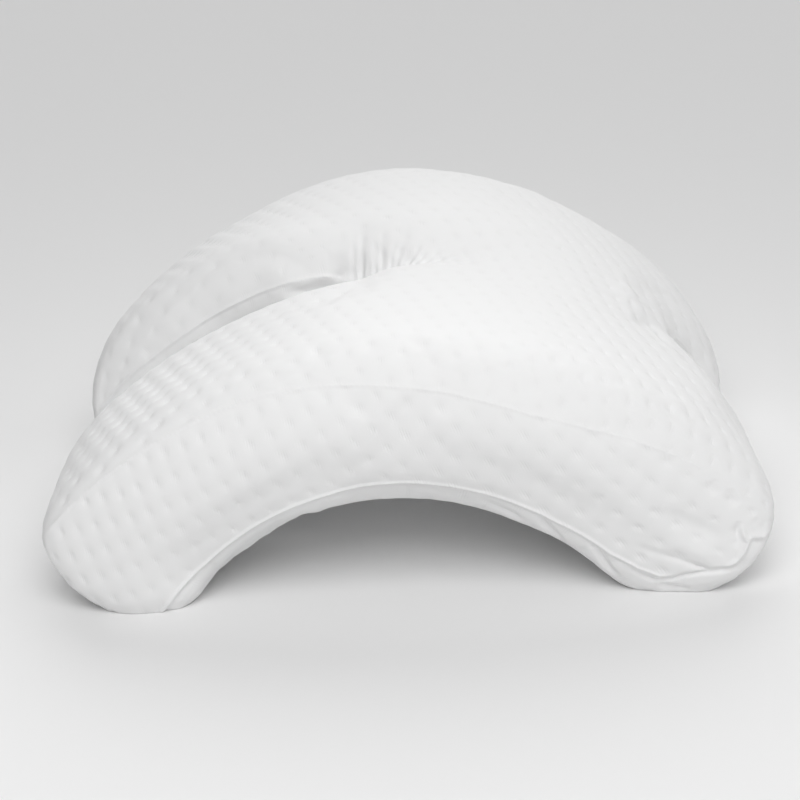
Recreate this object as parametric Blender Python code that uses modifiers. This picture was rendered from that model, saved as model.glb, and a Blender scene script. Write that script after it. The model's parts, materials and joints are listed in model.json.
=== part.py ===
"""An arched cervical pillow: one thick foam slab in a knitted cover, bent into a bridge.

The slab is laid out flat first, as a coarse cage. A place on the cage is a section, counted
from the left end, a row, counted from the front face, and a level through the slab, from -1
on the underside to +1 on the top. Two slots are left out of the cage, a long one from the
left end and a short one from the right end. The cage is then bent onto the arch, rounded,
and flattened under the four feet. X runs along the width, Y from front to back and Z up,
and all sizes are in metres.
"""

import math

import bmesh
import bpy

PILLOW_DEPTH = 0.405
SLAB_THICKNESS = 0.125
TUNNEL_RADIUS = 0.210
TUNNEL_HEIGHT = 0.079
END_ANGLE = 57.0
LEG_SWELL = 0.013
BACK_RISE = 0.036
SHOULDER = 0.026

# The ends and the front and back faces bulge by these, in degrees and metres.
END_BULGE = 6.0
FACE_BULGE = 0.012

# The wall behind the slots leans back by this from its foot to its top.
SLOT_LEAN = 0.015

# Cross sections of the cage, from the left end to the right end. Each row gives the angle
# from the crown of the arch, the depths of the slot's front and back edges, how far the back
# lobe stands up at the slot and at the back, how far the top sinks between the lobes, and
# how far the loose underside hangs.
SECTIONS = (
    # angle, slot_front, slot_back, up_at_slot, up_at_back, sink, slack
    (-END_ANGLE, 0.143, 0.231, -0.006, -0.008, 0.000, 0.000),
    (-48.0, 0.143, 0.231, 0.004, 0.003, 0.000, 0.000),
    (-39.5, 0.143, 0.231, 0.012, 0.002, 0.000, 0.000),
    (-30.0, 0.147, 0.231, 0.010, -0.007, 0.000, 0.000),
    (-19.0, 0.154, 0.225, 0.008, -0.004, 0.001, 0.000),
    (-8.5, 0.164, 0.188, 0.000, 0.001, 0.020, 0.000),
    (2.0, 0.174, 0.202, 0.000, 0.003, 0.022, 0.000),
    (14.0, 0.170, 0.217, 0.000, 0.001, 0.009, 0.004),
    (25.0, 0.158, 0.225, 0.000, 0.000, 0.000, 0.008),
    (35.0, 0.163, 0.225, 0.000, 0.000, 0.003, 0.006),
    (43.0, 0.176, 0.220, 0.000, 0.005, 0.006, 0.002),
    (50.0, 0.171, 0.228, 0.000, 0.006, 0.000, 0.000),
    (END_ANGLE, 0.165, 0.231, 0.000, 0.002, 0.000, 0.000),
)

# Shares of the rise towards the back, for the rows from the front face to the back face.
ROW_RISES = (0.00, 0.05, 0.25, 0.40, 1.00, 1.05, 1.02, 1.00)

# The slots lie between these two rows, up to these sections.
SLOT_FRONT_ROW = 3
SLOT_BACK_ROW = 4
LEFT_SLOT_END = 5
RIGHT_SLOT_END = 10

CUT_MARGIN = 0.05
COVER_COLOUR = (0.86, 0.86, 0.86, 1.0)
COVER_ROUGHNESS = 0.9


def clear_scene():
    for thing in list(bpy.data.objects):
        bpy.data.objects.remove(thing)


def new_collection(name):
    collection = bpy.data.collections.new(name)
    bpy.context.scene.collection.children.link(collection)
    return collection


def knitted_cover():
    material = bpy.data.materials.new("knitted_cover")
    material.use_nodes = True
    shader = material.node_tree.nodes["Principled BSDF"]
    shader.inputs["Base Color"].default_value = COVER_COLOUR
    shader.inputs["Roughness"].default_value = COVER_ROUGHNESS
    shader.inputs["Metallic"].default_value = 0.0
    return material


def in_slot(section, row):
    """Tell whether the middle of a cage face lies in one of the two slots."""
    beside_slots = LEFT_SLOT_END < section < RIGHT_SLOT_END
    return SLOT_FRONT_ROW < row < SLOT_BACK_ROW and not beside_slots


def flat_cage():
    """Lay the slab out flat, with section, row and level as its three coordinates."""
    cage = bmesh.new()
    last_section = len(SECTIONS) - 1
    last_row = len(ROW_RISES) - 1
    bmesh.ops.create_grid(cage, x_segments=last_section, y_segments=last_row, size=0.5)
    for vertex in cage.verts:
        section = round((vertex.co.x + 0.5) * last_section)
        row = round((vertex.co.y + 0.5) * last_row)
        vertex.co = (section, row, -1.0)

    slot_faces = []
    for face in cage.faces:
        middle = face.calc_center_median()
        if in_slot(middle.x, middle.y):
            slot_faces.append(face)
    bmesh.ops.delete(cage, geom=slot_faces, context="FACES")

    lifted = bmesh.ops.extrude_face_region(cage, geom=cage.faces[:], use_keep_orig=True)
    for item in lifted["geom"]:
        if isinstance(item, bmesh.types.BMVert):
            item.co.z = 1.0

    upright = []
    for edge in cage.edges:
        if edge.verts[0].co.z != edge.verts[1].co.z:
            upright.append(edge)
    bmesh.ops.subdivide_edges(cage, edges=upright, cuts=1, use_grid_fill=True)
    bmesh.ops.recalc_face_normals(cage, faces=cage.faces[:])
    return cage


def depth_at(section, row, level):
    """Give the distance of a cage point from the plane of the front face."""
    slot_front, slot_back = SECTIONS[section][1:3]
    depths = (
        0.0,
        SHOULDER,
        slot_front - SHOULDER,
        slot_front,
        slot_back,
        slot_back + SHOULDER,
        PILLOW_DEPTH - SHOULDER,
        PILLOW_DEPTH,
    )
    depth = depths[row]
    if row == SLOT_BACK_ROW:
        depth += SLOT_LEAN / 2.0 * level
    if level == 0 and row == 0:
        depth -= FACE_BULGE
    if level == 0 and row == len(depths) - 1:
        depth += FACE_BULGE
    return depth


def angle_at(section, level):
    """Give the angle of a cage point from the crown of the arch, in radians."""
    angle = SECTIONS[section][0]
    if level == 0 and section == 0:
        angle -= END_BULGE
    if level == 0 and section == len(SECTIONS) - 1:
        angle += END_BULGE
    return math.radians(angle)


def radius_at(section, row, level, turn):
    """Give the distance of a cage point from the axis that the slab is bent round."""
    up_at_slot, up_at_back, sink, slack = SECTIONS[section][3:]
    end_turn = math.radians(END_ANGLE)
    crown = (math.cos(turn) - math.cos(end_turn)) / (1.0 - math.cos(end_turn))
    thickness = SLAB_THICKNESS
    thickness += LEG_SWELL * (turn / end_turn) ** 2
    thickness += BACK_RISE * ROW_RISES[row] * crown
    radius = TUNNEL_RADIUS + thickness * (level + 1.0) / 2.0
    if level < 0:
        radius -= slack
    if level > 0:
        if row in (SLOT_BACK_ROW, SLOT_BACK_ROW + 1):
            radius += up_at_slot
        if row > SLOT_BACK_ROW + 1:
            radius += up_at_back
        if row in (SLOT_FRONT_ROW, SLOT_BACK_ROW):
            radius -= sink
    return radius


def bend_cage(cage):
    """Bend the flat cage onto the arch."""
    for vertex in cage.verts:
        section = round(vertex.co.x)
        row = round(vertex.co.y)
        level = round(vertex.co.z)
        turn = angle_at(section, level)
        radius = radius_at(section, row, level, turn)
        x = radius * math.sin(turn)
        y = depth_at(section, row, level) - PILLOW_DEPTH / 2.0
        z = radius * math.cos(turn) - TUNNEL_RADIUS + TUNNEL_HEIGHT
        vertex.co = (x, y, z)


def floor_cutter(collection):
    """Make the block below the floor that flattens the four feet."""
    block = bmesh.new()
    bmesh.ops.create_cube(block, size=1.0)
    across = 2.0 * (TUNNEL_RADIUS + SLAB_THICKNESS) + CUT_MARGIN
    for vertex in block.verts:
        vertex.co.x *= across
        vertex.co.y *= PILLOW_DEPTH + 2.0 * CUT_MARGIN
        vertex.co.z = (vertex.co.z - 0.5) * CUT_MARGIN
    mesh = bpy.data.meshes.new("floor_cutter")
    block.to_mesh(mesh)
    block.free()
    cutter = bpy.data.objects.new("floor_cutter", mesh)
    collection.objects.link(cutter)
    cutter.hide_render = True
    cutter.display_type = "WIRE"
    return cutter


def make_pillow(collection, cutter):
    cage = flat_cage()
    bend_cage(cage)
    mesh = bpy.data.meshes.new("pillow")
    cage.to_mesh(mesh)
    cage.free()
    mesh.materials.append(knitted_cover())
    pillow = bpy.data.objects.new("pillow", mesh)
    collection.objects.link(pillow)

    rounding = pillow.modifiers.new("rounding", "SUBSURF")
    rounding.levels = 2
    rounding.render_levels = 2
    feet = pillow.modifiers.new("feet", "BOOLEAN")
    feet.operation = "DIFFERENCE"
    feet.object = cutter
    return pillow


def centre_over_origin(pillow):
    """Move the cage sideways until the finished shape reaches equally far left and right."""
    graph = bpy.context.evaluated_depsgraph_get()
    finished = pillow.evaluated_get(graph)
    reach = [corner[0] for corner in finished.bound_box]
    offset = (min(reach) + max(reach)) / 2.0
    for vertex in pillow.data.vertices:
        vertex.co.x -= offset


def main():
    clear_scene()
    parts = new_collection("cervical_pillow")
    cutters = new_collection("cutters")
    cutter = floor_cutter(cutters)
    pillow = make_pillow(parts, cutter)
    centre_over_origin(pillow)


main()
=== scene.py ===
# %% [markdown]
# # An arched cervical pillow
#
# The real pillow is a thick slab of soft foam in a white knitted cover. It stands on its four
# feet like a low bridge, and two slots let an arm through: a long one from the left end and a
# short one from the right end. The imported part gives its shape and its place. This script
# gives it cloth: a padded cover with seams, gathers, creases and rows of small dents, and a
# knitted finish.

import json
import math

import bmesh
import bpy
import numpy as np
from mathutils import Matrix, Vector

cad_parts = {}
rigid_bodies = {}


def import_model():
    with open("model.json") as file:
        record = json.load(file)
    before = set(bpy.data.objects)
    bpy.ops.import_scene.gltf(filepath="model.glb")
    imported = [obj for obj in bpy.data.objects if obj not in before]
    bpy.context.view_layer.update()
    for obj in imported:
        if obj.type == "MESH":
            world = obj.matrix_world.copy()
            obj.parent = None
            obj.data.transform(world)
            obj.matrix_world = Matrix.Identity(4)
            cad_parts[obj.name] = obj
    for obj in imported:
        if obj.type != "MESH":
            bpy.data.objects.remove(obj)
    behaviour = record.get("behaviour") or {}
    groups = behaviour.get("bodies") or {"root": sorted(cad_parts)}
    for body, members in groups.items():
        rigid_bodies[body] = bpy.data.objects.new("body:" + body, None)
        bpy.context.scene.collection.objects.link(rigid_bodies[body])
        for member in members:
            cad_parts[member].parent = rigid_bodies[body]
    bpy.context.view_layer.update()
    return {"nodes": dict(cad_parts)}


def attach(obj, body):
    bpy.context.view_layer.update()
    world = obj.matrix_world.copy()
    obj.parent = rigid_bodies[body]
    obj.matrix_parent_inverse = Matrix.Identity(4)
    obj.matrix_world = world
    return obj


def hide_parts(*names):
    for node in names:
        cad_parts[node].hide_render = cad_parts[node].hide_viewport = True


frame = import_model()
print("nodes:", sorted(frame["nodes"]))

# %% [markdown]
# ## Measuring along the arch
#
# Everything on this pillow follows the arch: the seams run at an almost constant distance
# from the axis that the slab is bent round, and the cloth lies round the bend. So each point
# is measured by its turn from the crown, its radius from that axis and its depth. The sizes
# below are those of the part, and the edges of the slots are rounded to a millimetre.

# %% Sizes of the arch
TUNNEL_RADIUS = 0.210
TUNNEL_HEIGHT = 0.079
SLAB_THICKNESS = 0.125
LEG_SWELL = 0.013
BACK_RISE = 0.036
END_TURN = math.radians(57.0)
FRONT_FACE = -0.2025
BACK_FACE = 0.2025
AXIS_DROP = TUNNEL_RADIUS - TUNNEL_HEIGHT

# The top rises between these two depths.
RISE_FROM = -0.19
RISE_TO = 0.03

# Where the slots lie, from the left end to the right end.
SLOT_TABLE = np.array([
    # turn, depth of the front edge, depth of the back edge, both from the middle
    (-57.0, -0.060, 0.028),
    (-39.5, -0.060, 0.028),
    (-30.0, -0.056, 0.028),
    (-19.0, -0.049, 0.022),
    (-8.5, -0.039, -0.015),
    (2.0, -0.029, 0.000),
    (14.0, -0.033, 0.014),
    (25.0, -0.045, 0.022),
    (35.0, -0.040, 0.022),
    (43.0, -0.027, 0.017),
    (57.0, -0.037, 0.028),
])
LEFT_SLOT_END = math.radians(-8.0)
RIGHT_SLOT_END = math.radians(42.0)


def smooth_step(low, high, values):
    share = np.clip((values - low) / (high - low), 0.0, 1.0)
    return share * share * (3.0 - 2.0 * share)


def along_arch(points):
    """Give the turn, radius and depth of each point."""
    height = points[:, 2] + AXIS_DROP
    turn = np.arctan2(points[:, 0], height)
    radius = np.hypot(points[:, 0], height)
    return turn, radius, points[:, 1]


def read_table(table, places, column=1):
    """Read a column of a table at places between its rows."""
    return np.interp(places, table[:, 0], table[:, column])


def slot_edges(turn):
    degrees = np.degrees(turn)
    return read_table(SLOT_TABLE, degrees, 1), read_table(SLOT_TABLE, degrees, 2)


def top_radius(turn, depth):
    """Give the radius of the pillow's top, which rises towards the back."""
    crown = (np.cos(turn) - math.cos(END_TURN)) / (1.0 - math.cos(END_TURN))
    rise = smooth_step(RISE_FROM, RISE_TO, depth) * np.clip(crown, 0.0, 1.0)
    swell = LEG_SWELL * (turn / END_TURN) ** 2
    return TUNNEL_RADIUS + SLAB_THICKNESS + swell + BACK_RISE * rise


print("radius of the top at the crown:", top_radius(np.zeros(1), np.array([FRONT_FACE])).round(3))

# %% [markdown]
# ## Padding the cover
#
# A cover over foam is slightly rounder than the foam's own shape. The part's mesh is copied,
# rebuilt with even faces and shrunk a little. Then it is blown up by a cloth simulation: the
# pressure inside pushes the cloth out, and the cloth's own tension keeps it smooth. A cap on
# how far a point may move keeps the pillow in its place.

# %% Copy the part's mesh and rebuild it with even faces
MERGE_WITHIN = 0.0001
FACE_SIZE = 0.0045
SOFTENING = 0.5
SOFTENING_ROUNDS = 4
SHRINK = 0.0015
FOOT_LEVEL = 0.0015


def deselect_all():
    for thing in bpy.context.view_layer.objects:
        thing.select_set(False)


def make_active(thing):
    deselect_all()
    thing.select_set(True)
    bpy.context.view_layer.objects.active = thing


def read_vectors(items, name):
    """Read one vector from each point or face of a mesh."""
    values = np.zeros(len(items) * 3)
    items.foreach_get(name, values)
    return values.reshape(-1, 3)


def points_of(mesh):
    return read_vectors(mesh.vertices, "co")


def normals_of(mesh):
    return read_vectors(mesh.vertices, "normal")


def put_points(mesh, points):
    mesh.vertices.foreach_set("co", points.astype(np.float64).ravel())
    mesh.update()


deselect_all()
cover = bpy.data.objects.new("pillow_cover", frame["nodes"]["pillow"].data.copy())
bpy.context.scene.collection.objects.link(cover)
cover.data.materials.clear()
make_active(cover)
bpy.ops.object.mode_set(mode="EDIT")
bpy.ops.mesh.select_all(action="SELECT")
bpy.ops.mesh.remove_doubles(threshold=MERGE_WITHIN)
bpy.ops.mesh.delete_loose()
bpy.ops.object.mode_set(mode="OBJECT")

remesh = cover.modifiers.new("even faces", "REMESH")
remesh.mode = "VOXEL"
remesh.voxel_size = FACE_SIZE
remesh.use_smooth_shade = True
bpy.ops.object.modifier_apply(modifier=remesh.name)
soften = cover.modifiers.new("soften", "SMOOTH")
soften.factor = SOFTENING
soften.iterations = SOFTENING_ROUNDS
bpy.ops.object.modifier_apply(modifier=soften.name)

shape = points_of(cover.data)
under_feet = shape[:, 2] < FOOT_LEVEL
shrunk = shape - SHRINK * normals_of(cover.data)
put_points(cover.data, shrunk)
print("even faces:", len(cover.data.polygons), "points on the floor:", int(under_feet.sum()))

# %% Blow the cover up
CLOTH_STEPS = 5
CLOTH_MASS = 0.3
CLOTH_STIFFNESS = 15.0
CLOTH_SHEAR = 8.0
CLOTH_BENDING = 2.0
PRESSURE = 4.0
LAST_FRAME = 20
MOST_OUT = 0.0045
MOST_IN = 0.0005


def blow_up(piece):
    """Run the cloth for a few frames and return where its points end."""
    cloth = piece.modifiers.new("padding", "CLOTH")
    cloth.settings.quality = CLOTH_STEPS
    cloth.settings.mass = CLOTH_MASS
    cloth.settings.tension_stiffness = CLOTH_STIFFNESS
    cloth.settings.compression_stiffness = CLOTH_STIFFNESS
    cloth.settings.shear_stiffness = CLOTH_SHEAR
    cloth.settings.bending_stiffness = CLOTH_BENDING
    cloth.settings.use_pressure = True
    cloth.settings.uniform_pressure_force = PRESSURE
    cloth.settings.effector_weights.gravity = 0.0
    cloth.collision_settings.use_collision = False
    cloth.point_cache.frame_start = 1
    cloth.point_cache.frame_end = LAST_FRAME
    scene = bpy.context.scene
    for number in range(1, LAST_FRAME + 1):
        scene.frame_set(number)
    graph = bpy.context.evaluated_depsgraph_get()
    blown = points_of(piece.evaluated_get(graph).data)
    piece.modifiers.remove(cloth)
    scene.frame_set(1)
    return blown


start = points_of(cover.data)
outwards = normals_of(cover.data)
move = np.sum((blow_up(cover) - start) * outwards, axis=1)
settled = start + np.clip(move, -MOST_IN, MOST_OUT)[:, None] * outwards
moves = np.percentile(move, (1, 25, 50, 75, 99)) * 1000
print("moves in mm before the caps:", moves.round(1))
settled[:, 2] = np.maximum(settled[:, 2], 0.0)
settled[under_feet, 2] = 0.0
put_points(cover.data, settled)

# %% [markdown]
# ## Where the cover is fuller or tighter
#
# A real cover is never as even as a drawing: it bulges at the corners of the feet, stands up
# along the slots and dips beside them. Each such place is one soft push, like a thumb on clay:
# it moves everything within its reach, most in the middle and less towards its rim.

# %% Push the cover into shape
RESTING_LEVEL = 0.0006
PUSHES = (
    # middle, reach, move
    ((-0.200, -0.200, 0.000), 0.032, (0.000, -0.007, 0.000)),
    ((-0.245, -0.190, 0.000), 0.030, (-0.002, -0.004, 0.000)),
    ((-0.255, -0.120, 0.125), 0.050, (-0.003, 0.000, 0.003)),
    ((-0.262, 0.090, 0.110), 0.055, (-0.006, 0.000, 0.002)),
    ((0.262, 0.090, 0.120), 0.050, (0.006, 0.000, 0.003)),
    ((0.255, -0.080, 0.135), 0.060, (0.005, 0.000, 0.005)),
    ((0.275, -0.160, 0.090), 0.040, (0.003, 0.000, 0.000)),
    ((0.235, -0.200, 0.000), 0.032, (0.006, -0.006, 0.000)),
    ((0.265, -0.190, 0.025), 0.030, (0.004, -0.002, 0.000)),
    ((0.160, -0.200, 0.025), 0.034, (-0.005, -0.003, -0.003)),
    ((-0.100, -0.200, 0.055), 0.030, (0.000, 0.000, 0.004)),
    ((-0.165, -0.200, 0.000), 0.022, (0.005, -0.003, 0.000)),
    ((0.000, -0.200, 0.080), 0.050, (0.000, 0.000, -0.002)),
    ((-0.050, 0.080, 0.235), 0.130, (0.000, 0.000, 0.002)),
    ((-0.070, -0.050, 0.205), 0.040, (0.000, 0.002, 0.005)),
    ((-0.044, -0.040, 0.203), 0.024, (0.000, 0.002, 0.003)),
    ((-0.010, -0.032, 0.210), 0.026, (0.000, 0.002, 0.0045)),
    ((0.025, -0.028, 0.212), 0.026, (0.000, 0.002, 0.0045)),
    # The rim of the right slot stands up, and the wall behind it comes forward.
    ((0.230, -0.026, 0.132), 0.026, (0.001, 0.010, 0.012)),
    ((0.250, -0.026, 0.105), 0.026, (0.001, 0.008, 0.008)),
    ((0.216, 0.006, 0.128), 0.018, (0.000, -0.013, 0.004)),
    ((0.236, 0.014, 0.112), 0.018, (0.000, -0.013, 0.004)),
    # The cloth over the closed end of the right slot is full.
    ((0.212, 0.030, 0.158), 0.026, (0.002, 0.000, 0.004)),
    ((0.192, 0.000, 0.165), 0.018, (0.002, 0.000, 0.004)),
    ((0.201, -0.012, 0.155), 0.014, (0.002, 0.000, 0.004)),
    # The back lobe slopes down to its seam in the long slot.
    ((-0.215, 0.027, 0.100), 0.030, (0.000, -0.004, 0.0016)),
    ((-0.180, 0.027, 0.136), 0.031, (0.000, -0.0085, 0.0034)),
    ((-0.140, 0.026, 0.166), 0.031, (0.000, -0.0105, 0.0042)),
    ((-0.100, 0.014, 0.182), 0.030, (0.000, -0.0085, 0.0034)),
    ((-0.062, 0.002, 0.194), 0.024, (0.000, -0.005, 0.0020)),
    # The loose bottom panel turns under sooner in the middle.
    ((-0.030, -0.196, 0.083), 0.018, (0.000, 0.007, -0.0028)),
    ((0.000, -0.196, 0.083), 0.018, (0.000, 0.007, -0.0028)),
    ((0.030, -0.196, 0.080), 0.018, (0.000, 0.007, -0.0028)),
    ((0.060, -0.194, 0.072), 0.018, (0.000, 0.005, -0.0020)),
)


def nearness(points, middle, reach):
    """Give 1 at a middle, fading softly to 0 well beyond the reach."""
    gap = np.linalg.norm(points - np.array(middle), axis=1)
    return np.exp(-(gap / reach) ** 2)


def pushed(points):
    total = np.zeros_like(points)
    for middle, reach, move in PUSHES:
        total += nearness(points, middle, reach)[:, None] * np.array(move)
    return points + total


resting = settled[:, 2] < RESTING_LEVEL
settled = pushed(settled)
settled[:, 2] = np.maximum(settled[:, 2], 0.0)
settled[resting, 2] = 0.0
put_points(cover.data, settled)
print("pushes:", len(PUSHES))

# %% [markdown]
# ## Where the seams run
#
# Two seams go all the way round the pillow. Above the upper one is the top panel, below the
# lower one is the loose bottom panel, and between them is the gusset. On the front face the
# upper seam wanders with the cloth, so its radius is given along the arch. Inside the slots it
# has other radii, and at the closed end of the long slot it dives under the gathers.

# %% The radii of the seams
FRONT_UPPER_SEAM = np.array([
    # turn, radius
    (-60.0, 0.3385),
    (-50.0, 0.3335),
    (-40.0, 0.3275),
    (-30.0, 0.3230),
    (-20.0, 0.3200),
    (-10.0, 0.3140),
    (0.0, 0.3070),
    (10.0, 0.3010),
    (18.0, 0.2980),
    (26.0, 0.3015),
    (40.0, 0.3155),
    (60.0, 0.3355),
])
FRONT_LOWER_SEAM = np.array([
    # turn, radius
    (-60.0, 0.2310),
    (-50.0, 0.2300),
    (-42.0, 0.2280),
    (-30.0, 0.2290),
    (-10.0, 0.2305),
    (0.0, 0.2300),
    (10.0, 0.2270),
    (30.0, 0.2230),
    (42.0, 0.2250),
    (48.0, 0.2310),
    (52.0, 0.2390),
    (53.0, 0.2460),
    (55.0, 0.2650),
    (57.0, 0.2770),
    (60.0, 0.2830),
])
SLOT_SEAM = np.array([
    # turn, radius
    (-60.0, 0.3350),
    (-46.0, 0.3345),
    (-40.0, 0.3315),
    (-34.0, 0.3310),
    (-25.0, 0.3325),
    (-16.0, 0.3350),
    (-13.0, 0.3335),
    (-11.0, 0.3320),
    (-8.0, 0.3250),
    (-7.0, 0.3180),
    (-5.0, 0.2900),
    (34.0, 0.2900),
    (38.0, 0.3200),
    (40.0, 0.3400),
    (42.0, 0.3440),
    (44.0, 0.3430),
    (48.0, 0.3370),
    (60.0, 0.3350),
])
BACK_UPPER_RADIUS = 0.335
SIDE_LOWER_RADIUS = 0.229

# The depths between which one table passes over into the next.
FRONT_TO_INSIDE = (-0.175, -0.110)
INSIDE_TO_BACK = (0.070, 0.130)


def seam_radii(turn, depth):
    """Give the radius of the upper and the lower seam at a turn and a depth."""
    degrees = np.degrees(turn)
    front = 1.0 - smooth_step(*FRONT_TO_INSIDE, depth)
    back = smooth_step(*INSIDE_TO_BACK, depth)
    inside = 1.0 - front - back
    upper = read_table(FRONT_UPPER_SEAM, degrees) * front
    upper += read_table(SLOT_SEAM, degrees) * inside + BACK_UPPER_RADIUS * back
    lower = read_table(FRONT_LOWER_SEAM, degrees) * front + SIDE_LOWER_RADIUS * (1.0 - front)
    return upper, lower


def facing_up(points, normals):
    """Give how much each point faces away from the arch's axis."""
    turn = along_arch(points)[0]
    return normals[:, 0] * np.sin(turn) + normals[:, 2] * np.cos(turn)


# %% [markdown]
# ## Finer faces
#
# Seams, gathers and creases are only a few millimetres wide, so they need small faces. One
# subdivision halves the faces everywhere. The gathered and creased places are cut once or
# twice more.

# %% Subdivide the cover, and again where it is gathered or creased
FRESH_SMOOTHING = 0.5
FRESH_ROUNDS = 2
HEM_RADIUS = 0.238

# Each box is given by its lowest and its highest corner.
FOOT_BOX = ((0.140, -0.230, -0.001), (0.290, -0.175, 0.080))
GATHERS_BOX = ((-0.100, -0.035, 0.170), (0.080, 0.050, 0.240))
HEM_BOX = ((-0.200, -0.230, 0.000), (0.200, -0.150, 0.110))
CORNER_BOX = ((0.165, -0.230, -0.001), (0.285, -0.180, 0.066))

finer = cover.modifiers.new("finer", "SUBSURF")
finer.levels = 1
finer.render_levels = 1
bpy.ops.object.modifier_apply(modifier=finer.name)


def refine(piece, wanted):
    """Cut the faces whose points are all wanted into four, and smooth the new points."""
    grid = bmesh.new()
    grid.from_mesh(piece.data)
    edges = []
    for edge in grid.edges:
        if wanted[edge.verts[0].index] and wanted[edge.verts[1].index]:
            edges.append(edge)
    made = bmesh.ops.subdivide_edges(grid, edges=edges, cuts=1, use_grid_fill=True)
    fresh = [item for item in made["geom_inner"] if isinstance(item, bmesh.types.BMVert)]
    axes = {"use_axis_x": True, "use_axis_y": True, "use_axis_z": True}
    for _ in range(FRESH_ROUNDS):
        bmesh.ops.smooth_vert(grid, verts=fresh, factor=FRESH_SMOOTHING, **axes)
    many_sided = [face for face in grid.faces if len(face.verts) > 4]
    bmesh.ops.triangulate(grid, faces=many_sided)
    grid.to_mesh(piece.data)
    grid.free()
    piece.data.update()


def within(points, low, high):
    return np.all((points > np.array(low)) & (points < np.array(high)), axis=1)


def fine_places(points):
    hem = within(points, *HEM_BOX) & (along_arch(points)[1] < HEM_RADIUS)
    return within(points, *FOOT_BOX) | within(points, *GATHERS_BOX) | hem


refine(cover, fine_places(points_of(cover.data)))
refine(cover, within(points_of(cover.data), *CORNER_BOX))
print("faces after refining:", len(cover.data.polygons))

# %% [markdown]
# ## The valley
#
# Where the long slot closes, the cloth is drawn down into a valley that goes on towards the
# right and grows shallow. Its front wall is steep, because the front lobe's crest stands over
# it, and its back wall rises softly up the back lobe. At its deepest place the cloth is
# puckered towards the back.

# %% Sink the valley that goes on from the long slot
VALLEY = np.array([
    # x, depth of its middle, how far it sinks, its reach to the front and to the back
    (-0.130, -0.014, 0.000, 0.018, 0.022),
    (-0.110, -0.014, 0.008, 0.018, 0.022),
    (-0.092, -0.014, 0.022, 0.019, 0.022),
    (-0.075, -0.014, 0.035, 0.020, 0.021),
    (-0.060, -0.013, 0.042, 0.020, 0.020),
    (-0.045, -0.013, 0.040, 0.020, 0.020),
    (-0.032, -0.012, 0.032, 0.018, 0.020),
    (-0.018, -0.011, 0.021, 0.015, 0.018),
    (-0.002, -0.010, 0.012, 0.013, 0.016),
    (0.015, -0.010, 0.006, 0.012, 0.015),
    (0.040, -0.010, 0.003, 0.012, 0.015),
    (0.070, -0.010, 0.000, 0.012, 0.015),
])
VALLEY_FOOT = 0.100
VALLEY_RIM = 0.190
STEEP_FRONT = 4
SOFT_BACK = 1.6
PUCKER = (-0.045, 0.0015, 0.191)
PUCKER_REACH = 0.016
PUCKER_DEPTH = 0.007


def sink_valley(points):
    """Sink the cloth steeply behind the front lobe and softly up the back lobe."""
    columns = (read_table(VALLEY, points[:, 0], column) for column in (1, 2, 3, 4))
    middle, deep, to_front, to_back = columns
    gap = points[:, 1] - middle
    ahead = np.exp(-(np.minimum(gap, 0.0) / to_front) ** STEEP_FRONT)
    behind = np.exp(-(np.maximum(gap, 0.0) / to_back) ** SOFT_BACK)
    sunk = points.copy()
    sunk[:, 2] -= deep * ahead * behind * smooth_step(VALLEY_FOOT, VALLEY_RIM, points[:, 2])
    sunk[:, 1] += PUCKER_DEPTH * nearness(sunk, PUCKER, PUCKER_REACH)
    return sunk


put_points(cover.data, sink_valley(points_of(cover.data)))
print("deepest place of the valley:", VALLEY[:, 2].max())

# %% [markdown]
# ## Cuts along the seams
#
# The cover is cut along each seam and beside it, so that the ridge of a seam follows it
# exactly. A plane can't follow a bent seam, so the cover is straightened first: in those
# coordinates each seam lies in one plane. After the cuts it is bent back. Only upright cloth
# is cut: where the cloth lies round the arch, its radius hardly changes, and a cut would stray.

# %% Cut the cover along the seams and beside them
UPPER, LOWER = 0, 1
CUT_OFFSETS = (-0.0046, -0.0030, -0.0018, -0.0008, 0.0, 0.0008, 0.0018, 0.0032)
CUT_SNAP = 0.0002
UNROLL_RADIUS = 0.338

# A place that faces the axis, or away from it, by more than this isn't upright.
UPRIGHT_LIMIT = 0.94


def straighten(points, which):
    """Give coordinates in which the chosen seam lies in the plane where the second is zero."""
    turn, radius, depth = along_arch(points)
    seam = seam_radii(turn, depth)[which]
    return np.stack([turn * UNROLL_RADIUS, radius - seam, depth], axis=1)


def bend_back(straight, which):
    turn = straight[:, 0] / UNROLL_RADIUS
    depth = straight[:, 2]
    radius = straight[:, 1] + seam_radii(turn, depth)[which]
    return np.stack([radius * np.sin(turn), depth, radius * np.cos(turn) - AXIS_DROP], axis=1)


def cut_along_seam(piece, which):
    facing = facing_up(points_of(piece.data), normals_of(piece.data))
    upright = np.abs(facing) < UPRIGHT_LIMIT
    put_points(piece.data, straighten(points_of(piece.data), which))
    grid = bmesh.new()
    grid.from_mesh(piece.data)
    mark = grid.verts.layers.int.new("upright")
    for vertex in grid.verts:
        vertex[mark] = int(upright[vertex.index])
    for offset in CUT_OFFSETS:
        near = []
        for face in grid.faces:
            heights = [vertex.co.y - offset for vertex in face.verts]
            if min(heights) < 0.0 < max(heights) and all(vertex[mark] for vertex in face.verts):
                near.append(face)
        edges = list({edge for face in near for edge in face.edges})
        corners = list({vertex for face in near for vertex in face.verts})
        cut = bmesh.ops.bisect_plane(
            grid,
            geom=corners + edges + near,
            dist=CUT_SNAP,
            plane_co=(0.0, offset, 0.0),
            plane_no=(0.0, 1.0, 0.0),
        )
        for item in cut["geom_cut"]:
            if isinstance(item, bmesh.types.BMVert):
                item[mark] = 1
    grid.verts.layers.int.remove(mark)
    grid.to_mesh(piece.data)
    grid.free()
    put_points(piece.data, bend_back(points_of(piece.data), which))


for which in (UPPER, LOWER):
    cut_along_seam(cover, which)
print("faces after the cuts:", len(cover.data.polygons))

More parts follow.
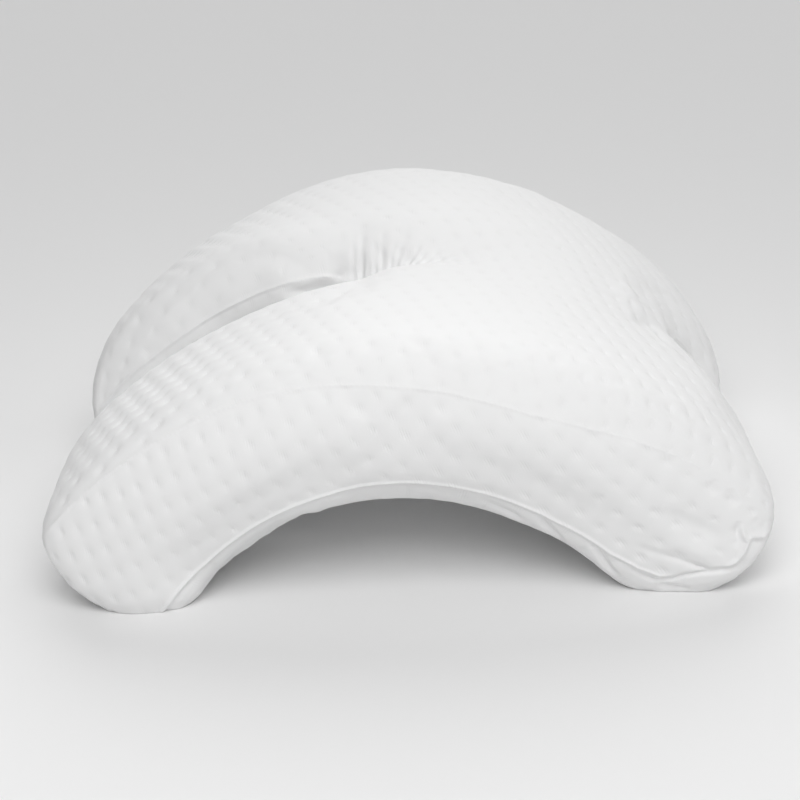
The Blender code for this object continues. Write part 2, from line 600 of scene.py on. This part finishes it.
# %% [markdown]
# ## How the knit lies
#
# The cover is knitted with small sunken ovals in a square pattern, about 18 mm apart. On the
# top panel the rows run 22 degrees off the arch. The gusset is a band cut from the same cloth
# and bent along the arch, so there the rows turn slowly from one foot to the other. Each point
# gets its place in this pattern, counted in whole dents: first on the top panel, unrolled over
# its edges, then on the gusset, on the end faces and on the underside. Where the cloth is
# pushed together, the dents stand closer.

# %% The pattern on the top panel
DENT_PITCH = 0.018
TOP_ROWS_TURN = math.radians(22.0)
EDGE_ROUNDING = 0.023
CROWDED_PLACE = (7.5, -3.5)
CROWDED_REACH = 6.0
CROWDING = 0.27
NEARLY_ZERO = 1e-6

# The depths from which the back edge counts, and between which the slots' walls lie.
BACK_EDGE_FROM = 0.12
SLOT_WALLS_FROM = -0.13
SLOT_WALLS_TO = 0.1


def unroll(position, drop, edge, outward):
    """Measure a depth over a rounded edge and down the wall below it."""
    start = edge - outward * EDGE_ROUNDING
    beyond = outward * (position - start)
    above = np.maximum(EDGE_ROUNDING - drop, NEARLY_ZERO)
    bent = np.arctan2(np.maximum(beyond, 0.0), above)
    wall = math.pi / 2.0 + (drop - EDGE_ROUNDING) / EDGE_ROUNDING
    bend = np.where(drop > EDGE_ROUNDING, wall, bent)
    return np.where(beyond > 0.0, start + outward * EDGE_ROUNDING * bend, position)


def turned(along, across, angle, pitch):
    """Turn two distances by an angle and count them in dents."""
    first = along * math.cos(angle) + across * math.sin(angle)
    second = across * math.cos(angle) - along * math.sin(angle)
    return first / pitch, second / pitch


def top_pattern(turn, radius, depth):
    drop = np.maximum(top_radius(turn, depth) - radius, 0.0)
    slot_front, slot_back = slot_edges(turn)
    middle = (slot_front + slot_back) / 2.0
    in_slots = (turn < LEFT_SLOT_END) | (turn > RIGHT_SLOT_END)
    across = unroll(depth, drop, FRONT_FACE, -1.0)
    across = np.where(depth > BACK_EDGE_FROM, unroll(depth, drop, BACK_FACE, 1.0), across)
    behind = in_slots & (depth >= middle) & (depth < SLOT_WALLS_TO)
    before = in_slots & (depth < middle) & (depth > SLOT_WALLS_FROM)
    across = np.where(behind, unroll(depth, drop, slot_back, -1.0), across)
    across = np.where(before, unroll(depth, drop, slot_front, 1.0), across)
    first, second = turned(turn * UNROLL_RADIUS, across, TOP_ROWS_TURN, DENT_PITCH)
    to_first = first - CROWDED_PLACE[0]
    to_second = second - CROWDED_PLACE[1]
    gap = np.hypot(to_first, to_second) / CROWDED_REACH
    squeeze = CROWDING * np.exp(-gap ** 2)
    return first + to_first * squeeze, second + to_second * squeeze


# %% The patterns on the gusset, the end faces and the underside
GUSSET_PITCH = 0.0168
GUSSET_ROW_PITCH = 0.0189
GUSSET_ROWS_TURN = math.radians(35.0)
GUSSET_BEND = 0.67
GUSSET_MIDDLE_HEIGHT = 0.12
GUSSET_START = (0.27, 0.20)
LEFT_CROWDING = 0.016
LEFT_CROWDED_FROM = -4.5


def gusset_pattern(places):
    """Lay the rows on circles about a point high above the pillow."""
    down = GUSSET_MIDDLE_HEIGHT + GUSSET_BEND - places[:, 2]
    along = np.arctan2(places[:, 0], down) * GUSSET_BEND
    up = GUSSET_BEND - np.hypot(places[:, 0], down)
    first, second = turned(along, up, GUSSET_ROWS_TURN, GUSSET_PITCH)
    first = first - LEFT_CROWDING * np.minimum(first - LEFT_CROWDED_FROM, 0.0) ** 2
    second = second * GUSSET_PITCH / GUSSET_ROW_PITCH
    return first + GUSSET_START[0], second + GUSSET_START[1]


def end_pattern(radius, depth):
    return turned(depth, radius, GUSSET_ROWS_TURN, GUSSET_PITCH)


def under_pattern(turn, depth):
    return turned(turn * TUNNEL_RADIUS, depth, TOP_ROWS_TURN, DENT_PITCH)


def knit_places(places):
    """Give each point's place in the pattern of each panel."""
    turn, radius, depth = along_arch(places)
    return np.stack([
        np.stack(top_pattern(turn, radius, depth), axis=1),
        np.stack(gusset_pattern(places), axis=1),
        np.stack(end_pattern(radius, depth), axis=1),
        np.stack(under_pattern(turn, depth), axis=1),
    ])


# %% Tell which panel each face belongs to
TOP, GUSSET, END, UNDER = 0, 1, 2, 3

# A face that looks along the arch by more than this belongs to an end.
END_LIMIT = 0.7


def panels_of(middles, normals):
    turn, radius, depth = along_arch(middles)
    upper, lower = seam_radii(turn, depth)
    facing = facing_up(middles, normals)
    along = normals[:, 0] * np.cos(turn) - normals[:, 2] * np.sin(turn)
    panel = np.where(np.abs(along) > END_LIMIT, END, GUSSET)
    panel[(radius > upper) | (facing > UPRIGHT_LIMIT)] = TOP
    panel[(radius < lower) | (facing < -UPRIGHT_LIMIT)] = UNDER
    return panel


faces = cover.data.polygons
face_panel = panels_of(read_vectors(faces, "center"), read_vectors(faces, "normal"))
corner_count = len(cover.data.loops)
corner_point = np.zeros(corner_count, dtype=np.int64)
cover.data.loops.foreach_get("vertex_index", corner_point)
corners_per_face = np.zeros(len(faces), dtype=np.int64)
faces.foreach_get("loop_total", corners_per_face)
corner_panel = np.repeat(face_panel, corners_per_face)
places = points_of(cover.data)
normals = normals_of(cover.data)
panel = np.zeros(len(places), dtype=np.int64)
panel[corner_point] = corner_panel
patterns = knit_places(places)
for number, name in enumerate(("top", "gusset", "ends", "underside")):
    print(name, "faces:", int((face_panel == number).sum()))

# %% [markdown]
# ## Dents, seams, gathers and creases
#
# Each of these is a small move of the surface along its own normal, so they can be worked out
# one by one and added. A dent is a soft oval hollow. A seam is a thin ridge, and the lower one
# has a hollow below it. The gathers are grooves that fan out from the closed end of the long
# slot, up the wall of the valley. A crease or a fold is a groove or a ridge along a bent line.

# %% The dents
DENT_DEPTH = 0.0008
DENT_ALONG = 0.16
DENT_ACROSS = 0.22
STRETCHED_ALONG = 0.29
STRETCHED_ACROSS = 0.15
PUFF = 0.00010

# On the top panel the dents are stretched along the arch, fully to the left of the first turn
# and no longer to the right of the second.
STRETCHED_TO = (math.radians(-32.0), math.radians(-6.0))

# They stop at the seams, and are weaker underneath and inside the slots.
CLEAR_OF_UPPER = 0.003
CLEAR_OF_LOWER = 0.004
UNDER_SHARE = 0.4
IN_SLOT_SHARE = 0.2
SLOT_HALF_DEPTH = 0.09

# Seams show only on upright cloth. They fade in as it faces the axis, or away from it, by
# less than the first value, and show fully below the second.
WALL_FACING = (0.96, 0.80)
STRENGTHS = (
    # middle, reach, how much deeper (or shallower) the dents are there
    ((0.165, -0.200, 0.150), 0.080, 0.2),
    ((-0.230, -0.200, 0.080), 0.080, 0.3),
    ((-0.200, -0.120, 0.150), 0.070, 1.5),
    ((-0.190, 0.120, 0.170), 0.080, 1.6),
    ((0.140, -0.050, 0.180), 0.090, 0.1),
    ((0.030, -0.070, 0.210), 0.080, -0.6),
    ((-0.120, 0.030, 0.190), 0.055, -0.7),
    ((0.000, 0.060, 0.235), 0.090, -0.4),
    ((-0.190, 0.050, 0.150), 0.055, -0.5),
    ((-0.045, 0.010, 0.205), 0.034, -0.8),
    ((-0.160, -0.200, 0.040), 0.040, -0.5),
    ((0.060, -0.200, 0.130), 0.080, -0.4),
)


def dents(first, second, stretch):
    """Give the height of the knit: sunken ovals with a soft puff between them."""
    half_along = DENT_ALONG + (STRETCHED_ALONG - DENT_ALONG) * stretch
    half_across = DENT_ACROSS + (STRETCHED_ACROSS - DENT_ACROSS) * stretch
    to_first = first - np.round(first)
    to_second = second - np.round(second)
    oval = np.exp(-(to_first / half_along) ** 2 - (to_second / half_across) ** 2)
    puff = np.cos(2.0 * math.pi * first) + np.cos(2.0 * math.pi * second)
    return -DENT_DEPTH * oval - PUFF * puff


def strength_at(points):
    total = np.ones(len(points))
    for middle, reach, more in STRENGTHS:
        total += more * nearness(points, middle, reach)
    return total


turn, radius, depth = along_arch(places)
upper, lower = seam_radii(turn, depth)
facing = facing_up(places, normals)
first, second = patterns[panel, np.arange(len(places))].T
side_like = smooth_step(*WALL_FACING, np.abs(facing))
to_upper = radius - upper
to_lower = radius - lower
clear_of_seams = 1.0 - side_like * np.exp(-(to_upper / CLEAR_OF_UPPER) ** 2)
clear_of_seams *= 1.0 - side_like * np.exp(-(to_lower / CLEAR_OF_LOWER) ** 2)
stretch = (panel == TOP) * (1.0 - smooth_step(*STRETCHED_TO, turn))
height = dents(first, second, stretch) * strength_at(places) * clear_of_seams
height[panel == UNDER] *= UNDER_SHARE
in_slot = (np.abs(depth) < SLOT_HALF_DEPTH) & (radius < upper)
height[in_slot] *= IN_SLOT_SHARE

# %% The seams
RIDGE_HEIGHT = 0.0010
RIDGE_WIDTH = 0.0014
HOLLOW_DEPTH = 0.0004
HOLLOW_WIDTH = 0.0026
HOLLOW_OFFSET = 0.0034
UPPER_RIDGE_AT_FRONT = 0.5
UPPER_RIDGE_ELSEWHERE = 0.9
LOWER_RIDGE = 1.3
LOWER_HOLLOW = 1.2

# The two seams are lost in the right foot, and the slot's seam at the closed end. Each fades
# between two turns, in degrees.
UPPER_LOST = (41.0, 46.0)
LOWER_LOST = (51.0, 53.5)
SLOT_SEAM_LOST = (-11.0, -8.0)

# The front face lies before this depth, and the slots' back wall between the next two.
FRONT_DEPTH = -0.12
BACK_WALL_FROM = -0.03
BACK_WALL_TO = 0.06


def seam_profile(below, ridge_strength, hollow_strength):
    """A thin ridge with a hollow below it."""
    ridge = RIDGE_HEIGHT * np.exp(-(below / RIDGE_WIDTH) ** 2)
    hollow = HOLLOW_DEPTH * np.exp(-((below - HOLLOW_OFFSET) / HOLLOW_WIDTH) ** 2)
    return ridge_strength * ridge - hollow_strength * hollow


def share_kept(lost, turn, where):
    """Give how much of a seam is kept, where it fades out between two turns."""
    start, end = (math.radians(degrees) for degrees in lost)
    return 1.0 - smooth_step(start, end, turn) * where


at_front = depth < FRONT_DEPTH
at_slot_end = (depth < BACK_WALL_TO) & (turn < 0.0) & ~at_front
upper_kept = share_kept(UPPER_LOST, turn, at_front)
lower_kept = share_kept(LOWER_LOST, turn, at_front)
slot_seam_kept = share_kept(SLOT_SEAM_LOST, turn, at_slot_end)
upper_ridge = np.where(at_front, UPPER_RIDGE_AT_FRONT, UPPER_RIDGE_ELSEWHERE * slot_seam_kept)
height += side_like * seam_profile(-to_upper, upper_ridge * upper_kept, 0.0)
height += side_like * seam_profile(-to_lower, LOWER_RIDGE, LOWER_HOLLOW) * lower_kept

# %% Draw in the long slot's back wall, below its seam and near the closed end
DRAWN_BACK = 0.0065
DRAWN_FROM = (math.radians(-18.0), math.radians(-14.0))
DRAWN_TO = math.radians(-4.0)
DRAWN_BELOW = (0.001, 0.010)
FACING_FORWARD = -0.3

near_end = smooth_step(*DRAWN_FROM, turn) * (turn < DRAWN_TO)
back_wall = (depth > BACK_WALL_FROM) & (depth < BACK_WALL_TO) & (normals[:, 1] < FACING_FORWARD)
height -= DRAWN_BACK * near_end * back_wall * smooth_step(*DRAWN_BELOW, -to_upper)
print("points of the wall drawn back:", int((near_end * back_wall > 0.0).sum()))

# %% The gathers behind the closed end of the long slot
GATHER_START_DEPTH = -0.020
GATHER_RISE = (-0.010, 0.002)
GATHER_FULL_TO = 0.25
GATHER_FACING = (-0.1, 0.3)
START_WIDTH = 0.8
GATHERS = (
    # where it starts along x, direction in degrees from +X, length, width, depth, widening
    (-0.0640, 114.0, 0.026, 0.0050, 0.0012, 1.2),
    (-0.0550, 106.0, 0.032, 0.0034, 0.0018, 1.0),
    (-0.0510, 103.0, 0.036, 0.0020, 0.0026, 1.0),
    (-0.0470, 99.0, 0.038, 0.0036, 0.0054, 0.8),
    (-0.0425, 94.0, 0.030, 0.0022, 0.0050, 0.7),
    (-0.0380, 91.0, 0.046, 0.0018, 0.0030, 1.0),
    (-0.0335, 87.0, 0.050, 0.0024, 0.0032, 0.8),
    (-0.0295, 84.0, 0.030, 0.0016, 0.0022, 1.1),
    (-0.0255, 80.0, 0.042, 0.0018, 0.0024, 1.0),
    (-0.0215, 76.0, 0.046, 0.0024, 0.0030, 0.9),
    (-0.0175, 72.0, 0.028, 0.0016, 0.0018, 1.1),
    (-0.0140, 68.0, 0.038, 0.0018, 0.0020, 1.0),
    (-0.0100, 63.0, 0.044, 0.0022, 0.0022, 1.0),
    (-0.0055, 57.0, 0.030, 0.0016, 0.0014, 1.1),
    (-0.0015, 52.0, 0.042, 0.0018, 0.0016, 1.0),
    (0.0040, 45.0, 0.038, 0.0018, 0.0014, 1.0),
    (0.0095, 38.0, 0.048, 0.0018, 0.0012, 1.0),
    (0.0170, 30.0, 0.050, 0.0020, 0.0012, 1.0),
    (0.0270, 24.0, 0.060, 0.0020, 0.0009, 1.0),
    (0.0380, 18.0, 0.060, 0.0022, 0.0007, 1.0),
)
RIPPLE_LENGTH = 0.011
RIPPLE_SHARE = 0.35
WANDER = 0.0008
WANDER_WAVES = 1.3

# Waves per metre of start, which set neighbouring gathers out of step.
WANDER_SHIFT = 37.0
RIPPLE_SHIFT = 91.0


def gathers(points, facing):
    """Grooves that fan out from the closed end of the slot, each a little crooked."""
    total = np.zeros(len(points))
    for start, direction, reach, width, deep, widening in GATHERS:
        angle = math.radians(direction)
        to_x = points[:, 0] - start
        to_y = points[:, 1] - GATHER_START_DEPTH
        along = to_x * math.cos(angle) + to_y * math.sin(angle)
        across = to_y * math.cos(angle) - to_x * math.sin(angle)
        share = np.clip(along / reach, 0.0, 1.0)
        spread = width * (START_WIDTH + widening * share)
        wander = 2.0 * math.pi * (WANDER_WAVES * share + WANDER_SHIFT * start)
        across -= WANDER * np.sin(wander)
        fade = 1.0 - smooth_step(GATHER_FULL_TO * reach, reach, along)
        fade *= smooth_step(*GATHER_RISE, along)
        wave = 2.0 * math.pi * (along / RIPPLE_LENGTH + RIPPLE_SHIFT * start)
        ripple = 1.0 + RIPPLE_SHARE * np.sin(wave)
        total -= deep * fade * ripple * np.exp(-(across / spread) ** 2)
    return total * smooth_step(*GATHER_FACING, facing)


height += gathers(places, facing)

# %% The creases and folds at the front
LINE_WIDTHS_REACHED = 3.0
LINE_MARGIN = 0.004
LINE_FULLNESS = 1.4
LINE_TIP = 0.02
LINES = (
    # width, height, then the points of the line
    # The fold above the hem of the right foot.
    (0.0034, -0.0010, ((0.165, -0.207, 0.045), (0.181, -0.208, 0.038), (0.195, -0.207, 0.033),
                       (0.206, -0.207, 0.029), (0.218, -0.209, 0.024), (0.225, -0.209, 0.021))),
    (0.0020, -0.0026, ((0.188, -0.207, 0.036), (0.195, -0.207, 0.033), (0.206, -0.207, 0.029),
                       (0.218, -0.209, 0.024), (0.225, -0.209, 0.021), (0.240, -0.210, 0.022),
                       (0.252, -0.210, 0.022))),
    (0.0070, 0.0018, ((0.190, -0.208, 0.047), (0.205, -0.207, 0.041), (0.220, -0.208, 0.034),
                      (0.235, -0.209, 0.030))),
    (0.0018, -0.0022, ((0.163, -0.206, 0.023), (0.174, -0.206, 0.017), (0.184, -0.206, 0.012),
                       (0.197, -0.208, 0.013), (0.206, -0.208, 0.017), (0.218, -0.210, 0.019),
                       (0.240, -0.210, 0.020))),
    # Folds of the loose bottom panel.
    (0.0030, -0.0034, ((0.136, -0.204, 0.043), (0.142, -0.204, 0.036), (0.150, -0.201, 0.022),
                       (0.159, -0.200, 0.012))),
    (0.0026, -0.0022, ((0.186, -0.205, 0.008), (0.198, -0.205, 0.006), (0.212, -0.205, 0.005))),
    (0.0034, -0.0026, ((-0.010, -0.200, 0.093), (0.018, -0.200, 0.088), (0.047, -0.197, 0.078))),
    (0.0034, -0.0028, ((0.050, -0.198, 0.080), (0.077, -0.196, 0.067), (0.090, -0.195, 0.059))),
    (0.0032, -0.0032, ((0.095, -0.202, 0.070), (0.107, -0.198, 0.053), (0.118, -0.191, 0.037))),
    # The pleat round the corner of the right foot.
    (0.0022, 0.0028, ((0.248, -0.206, 0.058), (0.250, -0.206, 0.048), (0.253, -0.206, 0.042),
                      (0.251, -0.208, 0.036), (0.247, -0.210, 0.029), (0.240, -0.210, 0.025),
                      (0.233, -0.208, 0.022))),
    (0.0020, 0.0020, ((0.253, -0.206, 0.042), (0.257, -0.206, 0.046), (0.265, -0.202, 0.044),
                      (0.270, -0.197, 0.045))),
    (0.0034, -0.0016, ((0.246, -0.206, 0.060), (0.246, -0.206, 0.044), (0.243, -0.207, 0.037))),
    (0.0050, -0.0012, ((0.258, -0.205, 0.060), (0.262, -0.203, 0.052), (0.268, -0.198, 0.050))),
    # Soft hollows and puckers above it.
    (0.0070, -0.0024, ((0.185, -0.208, 0.073), (0.210, -0.206, 0.060), (0.226, -0.207, 0.051),
                       (0.240, -0.208, 0.044))),
    (0.0050, -0.0016, ((0.240, -0.205, 0.085), (0.247, -0.204, 0.070))),
    (0.0050, -0.0016, ((0.226, -0.206, 0.093), (0.232, -0.206, 0.080))),
    (0.0050, -0.0016, ((0.253, -0.202, 0.093), (0.258, -0.202, 0.078))),
)


def line_gaps(points, line):
    """Give each point's distance from a bent line and its share of the way along it."""
    best = np.full(len(points), 1.0)
    share = np.zeros(len(points))
    line = np.array(line)
    steps = np.linalg.norm(np.diff(line, axis=0), axis=1)
    walked = np.concatenate([[0.0], np.cumsum(steps)])
    for start, end, before in zip(line[:-1], line[1:], walked[:-1]):
        way = end - start
        part = np.clip((points - start) @ way / (way @ way), 0.0, 1.0)
        gap = np.linalg.norm(points - start - part[:, None] * way, axis=1)
        nearer = gap < best
        best[nearer] = gap[nearer]
        share[nearer] = (before + part[nearer] * np.linalg.norm(way)) / walked[-1]
    return best, share


def creases(points):
    total = np.zeros(len(points))
    for width, high, line in LINES:
        around = LINE_WIDTHS_REACHED * width + LINE_MARGIN
        near = within(points, np.min(line, axis=0) - around, np.max(line, axis=0) + around)
        close = np.flatnonzero(near)
        gap, share = line_gaps(points[close], line)
        inner_share = np.clip(share, LINE_TIP, 1.0 - LINE_TIP)
        ends = np.clip(LINE_FULLNESS * np.sin(math.pi * inner_share), 0.0, 1.0)
        total[close] += high * ends * np.exp(-(gap / width) ** 2)
    return total


height += creases(places)

# %% Move the points
TOUCHING_LEVEL = 0.0004

moved = places + height[:, None] * normals
moved[:, 2] = np.maximum(moved[:, 2], 0.0)
moved[places[:, 2] < TOUCHING_LEVEL, 2] = 0.0
put_points(cover.data, moved)
make_active(cover)
bpy.ops.object.shade_smooth()
print("heights from", round(height.min() * 1000, 1), "to", round(height.max() * 1000, 1), "mm")

# %% [markdown]
# ## The pattern as a map
#
# The finish needs the same pattern, so it is stored as a map on the faces' corners. Each face
# takes its place from one panel only, so the pattern stops cleanly at a seam. A second map
# holds the way along the nearest seam and the distance from it, for the stitches.

# %% Store the knit and the seams as maps
STITCH_LENGTH = 0.0038
MILLIMETRES = 1000.0

# Farther from a seam than this, in millimetres, there are no stitches. A seam that is mostly
# lost counts as a metre away, and cloth that hardly stands upright has no stitches.
FAR_FROM_SEAMS = 20.0
LOST_GAP = 1.0
MOSTLY = 0.5
HARDLY = 0.05

knit_map = cover.data.uv_layers.new(name="knit")
knit_map.data.foreach_set("uv", patterns[corner_panel, corner_point].astype(np.float32).ravel())

upper_gap = np.where(upper_kept > MOSTLY, np.abs(to_upper), LOST_GAP)
lower_gap = np.where(lower_kept > MOSTLY, np.abs(to_lower), LOST_GAP)
seam_gap = np.minimum(upper_gap, lower_gap) * MILLIMETRES
seam_gap = np.minimum(seam_gap, FAR_FROM_SEAMS)
seam_gap = np.where(side_like > HARDLY, seam_gap, FAR_FROM_SEAMS)
seam_along = (turn * radius + depth) / STITCH_LENGTH
seam = np.stack([seam_along, seam_gap], axis=1)[corner_point]
seam_map = cover.data.uv_layers.new(name="seam")
seam_map.data.foreach_set("uv", seam.astype(np.float32).ravel())
print("maps:", [layer.name for layer in cover.data.uv_layers])

# %% [markdown]
# ## The knitted finish
#
# White knitted cloth is matt, with a faint sheen where it turns away. In each dent the two
# layers of the knit are joined, and three or four fine ribs show. Between the dents there is
# only a very fine knit. The material reads the first map, finds the nearest dent, draws its
# ribs as small bumps, sinks its middle a little more and paints it a little darker, as painted
# shade in the hollow. The second map gives it the stitches of the seams. A small class lets
# the sums be written as ordinary Python.

# %% A class for shader sums
class Number:
    """One number in a material, which Python's operators extend by Math nodes."""

    def __init__(self, nodes, socket):
        self.nodes = nodes
        self.socket = socket

    def join(self, operation, *others):
        return self.nodes.add("ShaderNodeMath", {"operation": operation}, [self] + list(others))[0]

    def __add__(self, other):
        return self.join("ADD", other)

    def __sub__(self, other):
        return self.join("SUBTRACT", other)

    def __mul__(self, other):
        return self.join("MULTIPLY", other)


class Nodes:
    """The nodes of one material."""

    def __init__(self, material):
        material.use_nodes = True
        self.tree = material.node_tree
        self.shader = self.tree.nodes["Principled BSDF"]

    def feed(self, socket, value):
        if isinstance(value, Number):
            self.tree.links.new(value.socket, socket)
        else:
            socket.default_value = value

    def add(self, kind, settings, values):
        """Add a node, set it, feed its inputs by position or name, and return its outputs."""
        node = self.tree.nodes.new(kind)
        for name, value in settings.items():
            setattr(node, name, value)
        pairs = values.items() if isinstance(values, dict) else enumerate(values)
        for key, value in pairs:
            self.feed(node.inputs[key], value)
        return [Number(self, output) for output in node.outputs]


# %% The material
COVER_COLOUR = (0.885, 0.885, 0.885, 1.0)
# The dents are painted a little darker than the rest of the cloth: painted shade in their hollows.
DENT_SHADE_COLOUR = (0.875, 0.875, 0.875, 1.0)
CLOTH_ROUGHNESS = 0.9
DENT_ROUGHNESS = 0.05
SPECULAR = 0.25
SHEEN = 0.1
SHEEN_ROUGHNESS = 0.5

# The finish of a dent spreads a little wider than its hollow. The ribs' pitch is a share of
# the way to the next dent, and the fine waves are counted over that way.
DENT_SPREAD = 1.2
RIB_PITCH = 0.12
RIB_SLANT = -0.35
FINE_WAVES = (13.0, 11.0)

# Heights of the bumps in metres, and how fast the stitches fade beside a seam.
RIB_HEIGHT = 0.00005
CORE_DEPTH = 0.00006
KNIT_HEIGHT = 0.00001
STITCH_HEIGHT = 0.00004
STITCH_FADING = 0.5

# The numbers of a colour mix's inputs and output.
MIX_SHARE, MIX_FIRST, MIX_SECOND = 0, 6, 7
MIX_RESULT = 2

knitted = bpy.data.materials.new("white_dented_knit")
nodes = Nodes(knitted)


def read_map(name):
    """Give the two numbers that one of the cover's maps holds."""
    place = nodes.add("ShaderNodeUVMap", {"uv_map": name}, [])[0]
    return nodes.add("ShaderNodeSeparateXYZ", {}, [place])[:2]


def fading(squared):
    """Give 1 where a squared distance is zero, fading softly to 0."""
    return nodes.add("ShaderNodeMath", {"operation": "POWER"}, [math.exp(-1.0), squared])[0]


first, second = read_map("knit")
to_first = first - first.join("ROUND")
to_second = second - second.join("ROUND")
spread_first = to_first * (1.0 / (DENT_SPREAD * DENT_ALONG))
spread_second = to_second * (1.0 / (DENT_SPREAD * DENT_ACROSS))
dent = fading(spread_first * spread_first + spread_second * spread_second)

slant = to_first + to_second * RIB_SLANT
ribs = (slant * (2.0 * math.pi / RIB_PITCH)).join("COSINE") * dent
core = dent * dent * dent
fine_first = (first * (2.0 * math.pi * FINE_WAVES[0])).join("SINE")
fine_second = (second * (2.0 * math.pi * FINE_WAVES[1])).join("SINE")
cloth_height = ribs * RIB_HEIGHT - core * CORE_DEPTH + fine_first * fine_second * KNIT_HEIGHT

stitch_along, stitch_gap = read_map("seam")
stitch = (stitch_along * (2.0 * math.pi)).join("SINE")
stitch_band = fading(stitch_gap * stitch_gap * STITCH_FADING)
cloth_height = cloth_height + stitch * stitch_band * STITCH_HEIGHT

bump_values = {"Strength": 1.0, "Distance": 1.0, "Height": cloth_height}
bump = nodes.add("ShaderNodeBump", {}, bump_values)[0]
# In each dent the cloth's colour is mixed towards the darker dent colour, as painted shade.
mix_values = {MIX_SHARE: dent, MIX_FIRST: COVER_COLOUR, MIX_SECOND: DENT_SHADE_COLOUR}
colour = nodes.add("ShaderNodeMix", {"data_type": "RGBA"}, mix_values)[MIX_RESULT]
finish = {
    "Base Color": colour,
    "Normal": bump,
    "Roughness": dent * DENT_ROUGHNESS + CLOTH_ROUGHNESS,
    "Specular IOR Level": SPECULAR,
    "Sheen Weight": SHEEN,
    "Sheen Roughness": SHEEN_ROUGHNESS,
}
for name, value in finish.items():
    nodes.feed(nodes.shader.inputs[name], value)
cover.data.materials.append(knitted)

# %% Tie the cover to the frame
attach(cover, "root")
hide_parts("pillow")

# %% [markdown]
# ## Floor, light and camera
#
# The photograph has a plain pale ground and soft light. One large soft box hangs close above
# the front, so the middle of the pillow is lighter than its ends. Three very broad lamps far
# away, from the front, the right and the back, light the pillow and the whole floor evenly.

# %% The floor
FLOOR_SIZE = 80.0
FLOOR_TONE = 0.84
FLOOR_ROUGHNESS = 0.9

deselect_all()
bpy.ops.mesh.primitive_plane_add(size=FLOOR_SIZE)
floor = bpy.context.object
floor.name = "floor"
pale = bpy.data.materials.new("pale_floor")
pale.use_nodes = True
pale_shader = pale.node_tree.nodes["Principled BSDF"]
pale_shader.inputs["Base Color"].default_value = (FLOOR_TONE, FLOOR_TONE, FLOOR_TONE, 1.0)
pale_shader.inputs["Roughness"].default_value = FLOOR_ROUGHNESS
floor.data.materials.append(pale)

# %% The light
SOFT_BOX_PLACE = (0.0, -0.80, 1.10)
SOFT_BOX_AIM = (0.0, 0.0, 0.15)
SOFT_BOX_SIZE = 0.9
SOFT_BOX_POWER = 6.3
BROAD_LAMP_WIDTH = math.radians(60.0)
BROAD_LAMPS = (
    # name, direction that it shines from, strength
    ("front_lamp", (0.0, -0.8, 0.8), 1.12),
    ("right_lamp", (0.9, 0.0, 0.7), 0.50),
    ("back_lamp", (0.0, 0.9, 0.7), 1.73),
)


def add_lamp(name, kind, place, aim, strength):
    """Add a lamp that stands at a place and shines towards another."""
    data = bpy.data.lights.new(name, kind)
    data.energy = strength
    lamp = bpy.data.objects.new(name, data)
    lamp.location = place
    away = Vector(aim) - Vector(place)
    lamp.rotation_euler = away.to_track_quat("-Z", "Y").to_euler()
    bpy.context.scene.collection.objects.link(lamp)
    return data


soft_box = add_lamp("soft_box", "AREA", SOFT_BOX_PLACE, SOFT_BOX_AIM, SOFT_BOX_POWER)
soft_box.size = SOFT_BOX_SIZE
for name, place, strength in BROAD_LAMPS:
    broad = add_lamp(name, "SUN", place, (0.0, 0.0, 0.0), strength)
    broad.angle = BROAD_LAMP_WIDTH

world = bpy.data.worlds.new("dark_room")
world.use_nodes = True
world.node_tree.nodes["Background"].inputs["Strength"].default_value = 0.0
bpy.context.scene.world = world

# %% The camera
CAMERA_AIM = (-0.005, 0.0, 0.083)
CAMERA_DISTANCE = 1.442
CAMERA_TURN = math.radians(0.95)
CAMERA_RISE = math.radians(22.1)
CAMERA_ROLL = math.radians(-2.5)
SENSOR = 36.0
FOCAL_PIXELS = 1689.0
PICTURE_PIXELS = 800.0
LENS = FOCAL_PIXELS / PICTURE_PIXELS * SENSOR

camera_data = bpy.data.cameras.new("camera")
camera_data.sensor_width = SENSOR
camera_data.lens = LENS
camera = bpy.data.objects.new("camera", camera_data)
bpy.context.scene.collection.objects.link(camera)
level = CAMERA_DISTANCE * math.cos(CAMERA_RISE)
camera.location = (
    CAMERA_AIM[0] + level * math.sin(CAMERA_TURN),
    CAMERA_AIM[1] - level * math.cos(CAMERA_TURN),
    CAMERA_AIM[2] + CAMERA_DISTANCE * math.sin(CAMERA_RISE),
)
camera.rotation_euler = (math.pi / 2.0 - CAMERA_RISE, 0.0, CAMERA_TURN)
camera.rotation_euler.rotate_axis("Z", CAMERA_ROLL)
bpy.context.scene.camera = camera
bpy.context.scene.view_settings.view_transform = "Standard"
bpy.context.scene.view_settings.look = "None"
